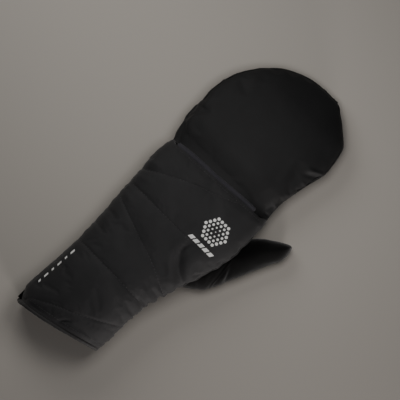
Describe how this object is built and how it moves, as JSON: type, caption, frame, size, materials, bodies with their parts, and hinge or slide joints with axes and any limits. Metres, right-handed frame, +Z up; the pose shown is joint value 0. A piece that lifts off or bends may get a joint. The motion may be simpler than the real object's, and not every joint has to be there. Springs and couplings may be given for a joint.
{
  "type": "cycling glove",
  "caption": "Padded winter cycling glove for the left hand, an over-mitt with a quilted gauntlet, a thumb and a wind hood drawn over the fingers.",
  "frame": {"origin": "middle of the palm's flat underside, on which the glove lies", "axes": "+Y from the cuff to the fingertips, +X towards the thumb, +Z up through the back of the hand"},
  "size_m": [0.1515, 0.3252, 0.0534],
  "materials": {
    "quilted_softshell": "matt, finely woven, dark grey",
    "hood_shell": "smooth windproof cloth with a faint sheen, near black",
    "suede": "napped synthetic suede, black",
    "elastic_binding": "ribbed elastic, purplish grey",
    "edge_binding": "woven binding, dark grey",
    "lining": "brushed fleece, dark grey",
    "thread": "sewing thread, black",
    "reflective_print": "reflective print, near white"
  },
  "bodies": {
    "root": {"back_panel": "quilted_softshell", "palm_panel": "suede", "hood_back": "hood_shell", "hood_palm": "hood_shell", "thumb": "suede", "thumb_gusset": "suede", "hood_piping": "elastic_binding", "thumb_edge_cord": "edge_binding", "cuff_hem": "edge_binding"}
  },
  "joints": []
}
